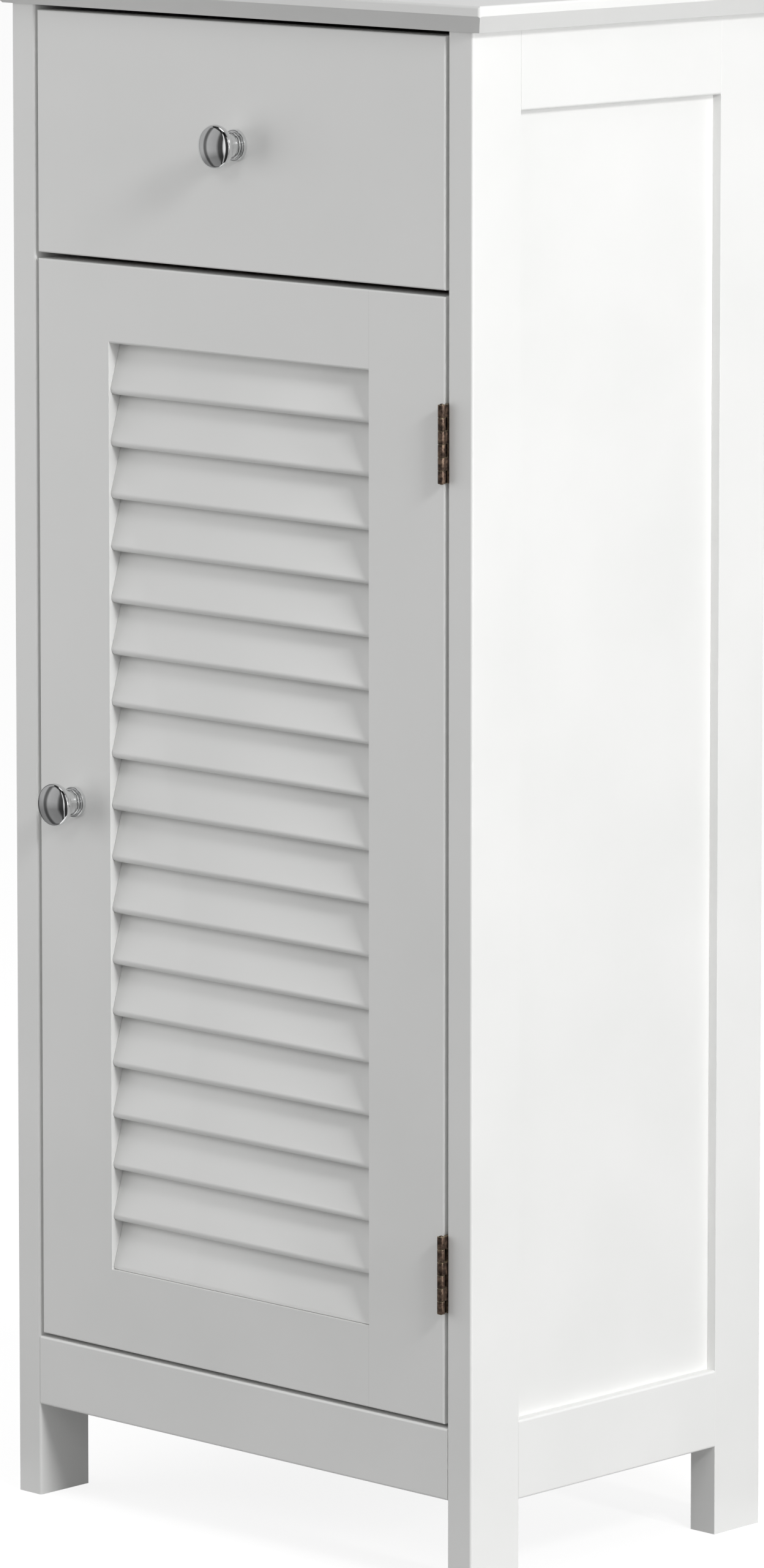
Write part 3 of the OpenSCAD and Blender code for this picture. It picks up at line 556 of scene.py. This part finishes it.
# In millimetres, but plain is a share of the length, and arm and wide are shares of the head's radius
woodScrew = dict(point=2.6, taper=0.8, pitch=1.15, depth=0.32, ridge=1.4, thread=8, plain=0.3, round=32,
                 recess=1.15, arm=0.62, wide=0.3, dome=0.0, faceRings=15, sink=1.02, slice=0.4,
                 shankTop=0.3, coneFoot=0.25, rimFoot=0.2, rimTop=0.06, bevel=0.12)
boltHead = dict(pitch=0.7, depth=0.22, ridge=1.4, thread=8, plain=0.1, round=32,
                recess=1.3, arm=0.6, wide=0.27, faceRings=15, rim=0.9, slice=0.5,
                rimSlice=0.05, shankTop=0.05, lip=0.01, flattest=0.05)
cross = dict(endFade=0.5, endAt=0.35, sideFade=0.45, sideAt=0.5)
wear = dict(thread=0.0, rim=0.7, face=0.35)


# A screw as a grid of rings from its tip to the middle of its head. Each thread ring's radius
# is the shank's less a triangle wave of height over the pitch minus the turn, so the ridge
# climbs once round per pitch. The head's rings carry a cross recess: the face falls in where
# a point lies within an arm's half width of either arm's middle line, and fades out at its end.
# ways holds the axis and two directions square to it. The first two head rings give the radius
# of the shank and of the head.
def screwSkin(tip, ways, length, headRings, size):
    axis, side, up = ways
    head = np.asarray(headRings, float)
    shankR, headR = head[0, 0], head[1, 0]
    turn = np.linspace(0, 2 * np.pi, size["round"], endpoint=False)
    plain = length * size["plain"]
    rows = np.arange(0, length - plain, size["pitch"] / size["thread"])
    climb = rows[:, None] / size["pitch"] - turn[None, :] / (2 * np.pi)
    wave = np.abs((climb % 1) * 2 - 1)
    fade = np.clip((length - plain - rows) / size["pitch"], 0, 1)[:, None]
    radius = shankR - size["depth"] * fade * (1 - wave) ** size["ridge"]
    if "point" in size:
        radius = radius * np.clip(rows / size["point"], 0, 1)[:, None] ** size["taper"]
    level = np.broadcast_to(rows[:, None], radius.shape)
    headRadius = np.broadcast_to(head[:, 0][:, None], (len(head), len(turn)))
    headLevel = np.broadcast_to(head[:, 1][:, None], (len(head), len(turn)))
    face = np.linspace(head[-1, 0], 0, size["faceRings"])[1:, None] * np.ones(len(turn))
    across, along = np.abs(face * np.cos(turn)), np.abs(face * np.sin(turn))
    arm, wide = size["arm"] * headR, size["wide"] * headR
    cut = np.maximum(crossArm(across, along, arm, wide), crossArm(along, across, arm, wide))
    crown = head[-1, 1] + size["dome"] * (1 - (face / head[-1, 0]) ** 2)
    radius = np.concatenate([radius, headRadius, face])
    level = np.concatenate([level, headLevel, crown - size["recess"] * cut])
    points = np.array(tip, float) + level[..., None] * np.array(axis, float)
    points = points + radius[..., None] * spokes(turn, side, up)
    worn = np.repeat([wear["thread"], wear["rim"], wear["face"]], [len(rows), len(head), len(face)])
    return closed(points, worn[:, None])


# How far a point is inside one arm of the cross: the product of two ramps from 1 to 0, one round
# the arm's end and one round its side, each as wide as its fade's share of the arm or of its half width
def crossArm(along, across, arm, wide):
    ends = np.clip((arm - along) / (cross["endFade"] * arm) + cross["endAt"], 0, 1)
    sides = np.clip((wide - across) / (cross["sideFade"] * wide) + cross["sideAt"], 0, 1)
    return ends * sides


# Countersunk wood screws in place of a node's plain ones. Each solid is one screw: its long
# way is the axis, and its head is at the end where it is wider.
def woodScrews(node):
    skins = []
    for points in solidsOf(node):
        low, high, k, others = longWay(points)
        wideLow = widthNear(points, k, low[k], woodScrew["slice"], others[0])
        wideHigh = widthNear(points, k, high[k], woodScrew["slice"], others[0])
        way = 1 if wideHigh > wideLow else -1
        headR, shankR = max(wideLow, wideHigh) / 2, min(wideLow, wideHigh) / 2
        ways = np.zeros((3, 3))
        ways[0, k], ways[1, others[0]], ways[2, others[1]] = way, 1, 1
        tip = (low + high) / 2
        tip[k] = low[k] if way > 0 else high[k]
        length = high[k] - low[k]
        deep = (headR - shankR) * woodScrew["sink"]
        rings = [(shankR, length - deep - woodScrew["coneFoot"]), (headR, length - woodScrew["rimFoot"]),
                 (headR, length - woodScrew["rimTop"]), (headR - woodScrew["bevel"], length)]
        skins.append(screwSkin(tip, ways, length - deep - woodScrew["shankTop"], rings, woodScrew))
    standIn(node, node + "_turned", skins, 40)


# The machine screw of a knob, behind the front: a threaded shank and a domed head with a cross.
# The head's edge is an arc, and the dome rises by one minus the square of the share of the radius.
def knobScrew(node):
    points = np.concatenate(solidsOf(node))
    low, high = points.min(0), points.max(0)
    middle = (low + high) / 2
    headR = (high[0] - low[0]) / 2
    shankR = widthNear(points, 1, low[1], boltHead["slice"], 0) / 2
    fromAxis = np.hypot(points[:, 0] - middle[0], points[:, 2] - middle[2])
    seat = points[fromAxis > headR - boltHead["rimSlice"], 1].min() - low[1]
    edge = arc(headR - boltHead["rim"], seat + boltHead["rim"], boltHead["rim"], 0, 75, 7)
    rings = [(shankR, seat - boltHead["lip"]), (headR, seat), *edge]
    size = dict(boltHead, dome=max(high[1] - low[1] - edge[-1, 1], boltHead["flattest"]))
    ways = (0, 1, 0), (1, 0, 0), (0, 0, 1)
    form = screwSkin((middle[0], low[1], middle[2]), ways, seat - boltHead["shankTop"], rings, size)
    standIn(node, node + "_turned", [form], 40)


for node in ("runner_screws", "catch_screws", "hinge_post_screws", "hinge_door_screws"):
    woodScrews(node)
knobScrew("drawer_knob_screw")
knobScrew("door_knob_screw")
print("screws made")


hinge = dict(barrel=2.1, leafT=1.0, leafFrom=4.0, leafTo=17.6, knuckles=6, gap=0.2, curlEdge=0.22, lap=0.6,
             inner=0.25, bendSteps=44, borderSteps=14, knuckleWear=(0.8, 0.25), wornRows=3,
             screwIn=12.0, screwAt=(0.22, 0.78), screwR=1.3, sinkR=2.35, sinkDeep=0.85, rimFlat=1.25,
             inset=0.06, pin=1.1, pinDome=0.45, domeSteps=6, pinRound=32, pinWear=(0.1, 0.35), hiddenRows=4)


# One knuckle with the neck that joins it to its leaf, as a flat outline carried upright: most
# of a circle round the pin, then out along one face of the leaf and back along the other.
# side is 1 for the post's leaf and -1 for the door's.
def knuckleSkin(axis, side, low, high):
    radius, near = hinge["barrel"], hinge["inner"]
    far = near + hinge["leafT"]
    start = math.degrees(math.acos(far / radius))
    end = math.degrees(math.acos(near / radius)) - 360
    bend = np.radians(np.linspace(start, end, hinge["bendSteps"]))
    circle = radius * np.stack([np.cos(bend), np.sin(bend)], -1)
    reach = hinge["leafFrom"] + hinge["lap"]
    outline = np.concatenate([circle, [[near, reach], [far, reach]]])
    outward = np.concatenate([circle / radius, [[-1, 0], [1, 0]]])
    flip = np.array([side, 1])
    points = carried(outline * flip, outward * flip, low, high, hinge["curlEdge"])
    points[..., :2] += axis
    row = np.arange(len(points))
    atEnd = np.minimum(row, row[::-1]) < hinge["wornRows"]
    return closed(points, np.where(atEnd, *hinge["knuckleWear"])[:, None])


# A leaf: one rectangle per screw, each a ring of points from its border in to the screw's
# countersunk hole, through it, and back out on the other face. Borders that two rectangles
# share get no wall.
def leafSkin(axis, side, low, high):
    y0, y1 = axis[1] + hinge["leafFrom"], axis[1] + hinge["leafTo"]
    open0, open1 = side * hinge["inner"], side * (hinge["inner"] + hinge["leafT"])
    middle = (low + high) / 2
    step = np.linspace(0, 1, hinge["borderSteps"], endpoint=False)[:, None]
    flat, faces, marks = [], [], []
    for share, (z0, z1) in zip(hinge["screwAt"], ((low, middle), (middle, high))):
        corners = np.array([[y0, z0], [y1, z0], [y1, z1], [y0, z1]])
        sides = (np.roll(corners, -1, axis=0) - corners)[:, None]
        border = (corners[:, None] + sides * step).reshape(-1, 2)
        hole = np.array([axis[1] + hinge["screwIn"], low + share * (high - low)])
        way = border - hole
        way /= np.linalg.norm(way, axis=1)[:, None]
        inside = border * (1 - hinge["inset"]) + hole * hinge["inset"]
        sink, bore = hole + hinge["sinkR"] * way, hole + hinge["screwR"] * way
        rings = [(border, open0, 0.9), (inside, open0, 0.2),
                 (hole + hinge["sinkR"] * hinge["rimFlat"] * way, open0, 0.2), (sink, open0, 0.9),
                 (bore, open0 + side * hinge["sinkDeep"], 0.1), (bore, open1, 0.1),
                 (border, open1, 0.3), (border, open0, 0.9)]
        grid = np.stack([np.column_stack([np.full(len(ring), axis[0] + x), ring]) for ring, x, _ in rings])
        made = gridFaces(len(rings), len(border))
        wall = np.arange(len(made)) >= (len(rings) - 2) * len(border)
        shared = np.abs(grid.reshape(-1, 3)[made][:, :, 2] - middle).max(1) < 1e-6
        faces.append(made[~(wall & shared)] + sum(len(part) for part in flat))
        flat.append(grid.reshape(-1, 3))
        marks.append(np.repeat([worn for _, _, worn in rings], len(border)))
    return welded(np.concatenate(flat), np.concatenate(faces), np.concatenate(marks))


# The leaves of both hinges: a leaf each, and every second knuckle from first on
def hingeLeaves(node, side, first):
    skins = []
    for pin in solidsOf("hinge_pins"):
        low, high = pin.min(0), pin.max(0)
        axis = (low[:2] + high[:2]) / 2
        tall = (high[2] - low[2]) / hinge["knuckles"]
        skins.append(leafSkin(axis, side, low[2], high[2]))
        for k in range(first, hinge["knuckles"], 2):
            foot, head = low[2] + k * tall, low[2] + (k + 1) * tall
            skins.append(knuckleSkin(axis, side, foot + hinge["gap"] / 2, head - hinge["gap"] / 2))
    standIn(node, node + "_rolled", skins, 40)


# The pins: a rod with a low domed end above and below the barrel. Each dome's radius goes by
# the cosine of the bend and its height by the sine.
def hingePins(node):
    skins = []
    for pin in solidsOf(node):
        low, high = pin.min(0), pin.max(0)
        bend = np.radians(np.linspace(0, 90, hinge["domeSteps"]))
        dome = np.stack([hinge["pin"] * np.cos(bend), hinge["pinDome"] * np.sin(bend)], -1)
        profile = np.concatenate([dome[::-1] * [1, -1], dome + [0, high[2] - low[2]]])
        base = ((low[0] + high[0]) / 2, (low[1] + high[1]) / 2, low[2])
        form = turned(profile, base, (0, 0, 1), (1, 0, 0), (0, 1, 0), hinge["pinRound"])
        hidden = np.arange(len(profile)) < hinge["hiddenRows"]
        skins.append(closed(form, np.where(hidden, *hinge["pinWear"])[:, None]))
    standIn(node, node + "_domed", skins, 50)


hingeLeaves("hinge_post_leaves", 1, 1)
hingeLeaves("hinge_door_leaves", -1, 0)
hingePins("hinge_pins")
print("hinges made")


catch = dict(flange=2.5, flangeCorner=3.0, block=22.0, blockCorner=1.6, blockBack=0.4, lap=0.3, edge=0.6,
             mouth=3.5, deep=6.0, pole=1.2, poleOut=0.1, poleCorner=0.4, poleEdge=0.2,
             magnet=4.0, magnetBack=0.15, magnetCorner=0.3, magnetEdge=0.15)


# The catch's nylon body: a flange against the board and a block below it, all edges rounded,
# and in its mouth two steel pole plates with the dark magnet between them
def catchPieces():
    node = "magnetic_catch"
    low, high = boxOf(node)
    middle, front, back = (low[0] + high[0]) / 2, low[1], low[1] + catch["deep"]
    half, under = catch["block"] / 2, high[2] - catch["flange"]
    flange = softBlock((low[0], front, under), high, catch["flangeCorner"], catch["edge"])
    block = softBlock((middle - half, front + catch["blockBack"], low[2]),
                      (middle + half, high[1], high[2] - catch["lap"]), catch["blockCorner"], catch["edge"])
    standIn(node, "catch_body", [flange, block])
    level = (low[2] + under) / 2
    left, right = middle - (half - catch["mouth"]), middle + (half - catch["mouth"])
    poles = []
    for way in (-1, 1):
        z = level + way * (catch["magnet"] + catch["pole"]) / 2
        poles.append(softBlock((left, front - catch["poleOut"], z - catch["pole"] / 2),
                               (right, back, z + catch["pole"] / 2), catch["poleCorner"], catch["poleEdge"]))
    putPiece("catch_pole_plates", poles, bodyOf[node], finishes["strike_steel"])
    magnet = softBlock((left, front + catch["magnetBack"], level - catch["magnet"] / 2),
                       (right, back, level + catch["magnet"] / 2), catch["magnetCorner"], catch["magnetEdge"])
    putPiece("catch_magnet", [magnet], bodyOf[node], finishes["ferrite"])


strike = dict(thick=1.2, corner=1.5, cornerSteps=8, edge=0.25, slice=0.05,
              prong=1.0, prongTip=0.12, cone=0.45, sunk=0.3, round=24)


# The strike plate: a thin plate with round corners and rolled edges, and two prongs. A prong's
# radius grows in a straight line from its tip to its shank.
def strikePiece():
    node = "strike_plate"
    low, high = boxOf(node)
    points = np.concatenate(solidsOf(node))
    plate = points[points[:, 1] > high[1] - strike["slice"]]
    wide, _, tall = plate.max(0) - plate.min(0)
    middle = (plate.min(0) + plate.max(0)) / 2
    ring, outward = softRectangle(wide, tall, strike["corner"], strike["cornerSteps"])
    form = carried(ring, outward, 0, strike["thick"], strike["edge"])
    back = high[1] - strike["thick"]
    skins = [closed(np.stack([middle[0] + form[..., 0], back + form[..., 2], middle[2] + form[..., 1]], -1))]
    length = back - low[1]
    profile = [(strike["prongTip"], 0), (strike["prong"], length * strike["cone"]),
               (strike["prong"], length + strike["sunk"])]
    for way in (-1, 1):
        base = (middle[0] + way * wide / 3, low[1], middle[2])
        skins.append(closed(turned(profile, base, (0, 1, 0), (1, 0, 0), (0, 0, 1), strike["round"])))
    standIn(node, "strike_plate_pressed", skins, 40)


catchPieces()
strikePiece()
print("catch made")


dowel = dict(flutes=18, perFlute=4, flute=0.18, chamfer=0.9, slope=0.7)


# A dowel is a rod whose radius dips by the flute's depth once per flute, by the square of the
# cosine where that is above 0, with chamfered ends
def dowelSkin(points):
    low, high, k, others = longWay(points)
    radius = (high[others[0]] - low[others[0]]) / 2
    turn = np.linspace(0, 2 * np.pi, dowel["flutes"] * dowel["perFlute"], endpoint=False)
    dip = dowel["flute"] * np.maximum(0, np.cos(turn * dowel["flutes"])) ** 2
    length = high[k] - low[k]
    level = np.array([0, dowel["chamfer"], length / 2, length - dowel["chamfer"], length])
    end = radius - dowel["chamfer"] * dowel["slope"]
    full = np.array([end, radius, radius, radius, end])
    ring = full[:, None] - dip[None, :] * (full[:, None] / radius)
    made = np.zeros(ring.shape + (3,))
    made[..., k] = low[k] + level[:, None]
    for j, wave in zip(others, (np.cos(turn), np.sin(turn))):
        made[..., j] = (low[j] + high[j]) / 2 + ring * wave
    return closed(made)


for node in ("carcass_dowels", "drawer_dowels"):
    standIn(node, node + "_fluted", [dowelSkin(points) for points in solidsOf(node)], 30)
print("dowels made")


ambient = 0.445  # what the world gives to matt surfaces
lamps = dict(
    keyLamp=dict(place=(2.0, -0.6, 1.75), azimuth=76, elevation=31, size=(0.4, 0.4), power=17.4),
    stripLamp=dict(place=(3.4, -0.14, 0.95), azimuth=90, elevation=10, size=(0.3, 0.7), power=49.0),
    topLamp=dict(place=(0.25, 0.1, 3.0), azimuth=0, elevation=90, size=(1.2, 1.2), power=1.9),
    frontLamp=dict(place=(1.16, -2.72, 2.1), azimuth=24, elevation=30, size=(0.8, 0.8), power=6.2),
    fillLamp=dict(place=(-1.41, -0.95, 0.4), azimuth=-56, elevation=2, size=(1.6, 1.6), power=11.2),
)


# An area lamp at a place, turned to shine from an azimuth and an elevation
def softLamp(name, place, azimuth, elevation, size, power):
    lamp = bpy.data.lights.new(name, "AREA")
    lamp.shape = "RECTANGLE"
    lamp.size, lamp.size_y = size
    lamp.energy = power
    holder = bpy.data.objects.new(name, lamp)
    bpy.context.scene.collection.objects.link(holder)
    holder.location = place
    holder.rotation_euler = (math.radians(90 - elevation), 0, math.radians(azimuth))


# The world is white to the eye and in metal, and a plain grey light for matt surfaces
def makeWorld():
    world = bpy.data.worlds.new("studio")
    bpy.context.scene.world = world
    world.use_nodes = True
    tree = world.node_tree
    tree.nodes.clear()
    plain = put(tree, "Background", {"Color": grey(1), "Strength": ambient})
    white = put(tree, "Background", {"Color": grey(1), "Strength": 1.0})
    mix = put(tree, "MixShader", links={"Fac": seenShare(tree), 1: plain.outputs[0], 2: white.outputs[0]})
    put(tree, "OutputWorld", links={"Surface": mix.outputs[0]})


# 1 for rays that the eye, a mirror or glass sends out, 0 for rays that only gather light
def seenShare(tree):
    path = put(tree, "LightPath")
    seen = path.outputs["Is Camera Ray"]
    for other in ("Is Glossy Ray", "Is Transmission Ray"):
        seen = worked(tree, "MAXIMUM", seen, path.outputs[other])
    return seen


# A mesh of the studio with its material, which isn't part of the cabinet
def stagePiece(name, corners, faces, material):
    mesh = bpy.data.meshes.new(name)
    mesh.from_pydata(corners, [], faces)
    mesh.materials.append(material)
    piece = bpy.data.objects.new(name, mesh)
    bpy.context.scene.collection.objects.link(piece)
    return piece


# A wide pale floor. To the eye and in metal it is lifted to white, and keeps the shadow.
def makeFloor():
    floor = dict(reach=60.0, albedo=0.3, dusty=0.97, grain=40.0, shown=0.27, lift=0.84)
    material, tree = emptyFinish("paleFloor")
    grain = spread(tree, noise(tree, put(tree, "TexCoord").outputs["Object"], floor["grain"], 3.0))
    pale = grey(floor["albedo"])[:3]
    dusty = grey(floor["dusty"] * floor["albedo"])[:3]
    real = put(tree, "BsdfDiffuse", links={"Color": blended(tree, grain, dusty, pale)})
    low = put(tree, "BsdfDiffuse", {"Color": grey(floor["shown"])})
    lift = put(tree, "Emission", {"Strength": floor["lift"]})
    shown = put(tree, "AddShader", links={0: low.outputs[0], 1: lift.outputs[0]})
    mix = put(tree, "MixShader", links={"Fac": seenShare(tree), 1: real.outputs[0], 2: shown.outputs[0]})
    put(tree, "OutputMaterial", links={"Surface": mix.outputs[0]})
    side = floor["reach"]
    corners = [(-side, -side, 0), (side, -side, 0), (side, side, 0), (-side, side, 0)]
    stagePiece("floor", corners, [(0, 1, 2, 3)], material)


# Tones of the painted reflection: glow strengths by azimuth, dark bands and bright strips that only metal
# mirrors
screen = dict(radius=1.5, height=2.3, mat=0.25, clear=0.004, roof=(0.6, 2.8), steps=72,
              underfoot=0.55, footFade=(0.01, 0.5), overhead=0.12, eavesFade=(-0.02, 0.03),
              tones=[(-125, 0.05), (-97, 0.06), (-88, 0.4), (-66, 0.44), (-59, 0.12), (-51, 0.13),
                     (-44, 0.45), (-12, 0.38), (-4, 0.08), (8, 0.05), (12, 0.9), (20, 0.9),
                     (25, 0.05), (68, 0.04), (74, 0.75), (84, 0.75), (90, 0.04), (150, 0.03)])


# A painted reflection: the screen's glow, a tone for each azimuth from a ramp with dark bands and bright
# strips, times a share for the height, which is lower near the floor and in the roof
def paintedReflectionGlow(start, end):
    material, tree = emptyFinish("paintedReflectionGlow")
    parts = put(tree, "SeparateXYZ", links={"Vector": put(tree, "TexCoord").outputs["Object"]})
    back = worked(tree, "MULTIPLY", parts.outputs["Y"], -1.0)
    azimuth = worked(tree, "ARCTAN2", parts.outputs["X"], back)
    share = spread(tree, azimuth, math.radians(start), math.radians(end))
    ramp = put(tree, "ValToRGB", links={"Fac": share})
    stops = ramp.color_ramp.elements
    while len(stops) < len(screen["tones"]):
        stops.new(0.5)
    for stop, (turn, tone) in zip(stops, screen["tones"]):
        stop.position = (turn - start) / (end - start)
        stop.color = grey(tone)
    eaves = [screen["height"] + fade for fade in screen["eavesFade"]]
    low = ranged(tree, parts.outputs["Z"], *screen["footFade"], screen["underfoot"], 1)
    high = ranged(tree, parts.outputs["Z"], *eaves, 1, screen["overhead"])
    strength = worked(tree, "MULTIPLY", low, high)
    # The painted reflection's glow: an emission seen only in metal, not a lamp
    reflectionGlow = put(tree, "Emission", links={"Color": ramp.outputs["Color"], "Strength": strength})
    put(tree, "OutputMaterial", links={"Surface": reflectionGlow.outputs[0]})
    return material


# A glowing screen, no lamp, round the front and the sides, which paints reflections of dark bands and bright
# strips
# into the polished metal: a mat at its foot, part of a cylinder and a slanted roof. Each row stands at one
# reach and height, and its points lie at the sine and minus the cosine of their azimuths. Only mirrored rays
# see it.
def makeScreen():
    start, end = screen["tones"][0][0], screen["tones"][-1][0]
    angle = np.radians(np.linspace(start, end, screen["steps"]))
    way = np.stack([np.sin(angle), -np.cos(angle)], -1)
    levels = [(screen["mat"], screen["clear"]), (screen["radius"], screen["clear"]),
              (screen["radius"], screen["height"]), screen["roof"]]
    points = np.stack([np.column_stack([way * reach, np.full(len(way), z)]) for reach, z in levels])
    cells = gridFaces(len(levels), len(way), False).tolist()
    piece = stagePiece("mirrorScreen", points.reshape(-1, 3), cells, paintedReflectionGlow(start, end))
    piece.visible_camera = False
    piece.visible_diffuse = False
    piece.visible_shadow = False
    piece.visible_transmission = False


# The eye stands to the right of the front, above the top, looking a little down
def makeCamera():
    eye = dict(place=(3.1003, -3.2229, 1.1478), yaw=43.822, down=6.482, lens=184.53, shift=-0.25)
    camera = bpy.data.cameras.new("camera")
    camera.sensor_width = 36.0
    camera.lens = eye["lens"]
    camera.shift_y = eye["shift"]
    camera.clip_start, camera.clip_end = 0.1, 200.0
    holder = bpy.data.objects.new("camera", camera)
    bpy.context.scene.collection.objects.link(holder)
    holder.location = eye["place"]
    holder.rotation_euler = (math.radians(90 - eye["down"]), 0, math.radians(eye["yaw"]))
    bpy.context.scene.camera = holder


bpy.context.scene.view_settings.view_transform = "Standard"
makeWorld()
makeFloor()
makeScreen()
makeCamera()
for name, lamp in lamps.items():
    softLamp(name, **lamp)
print("studio made")
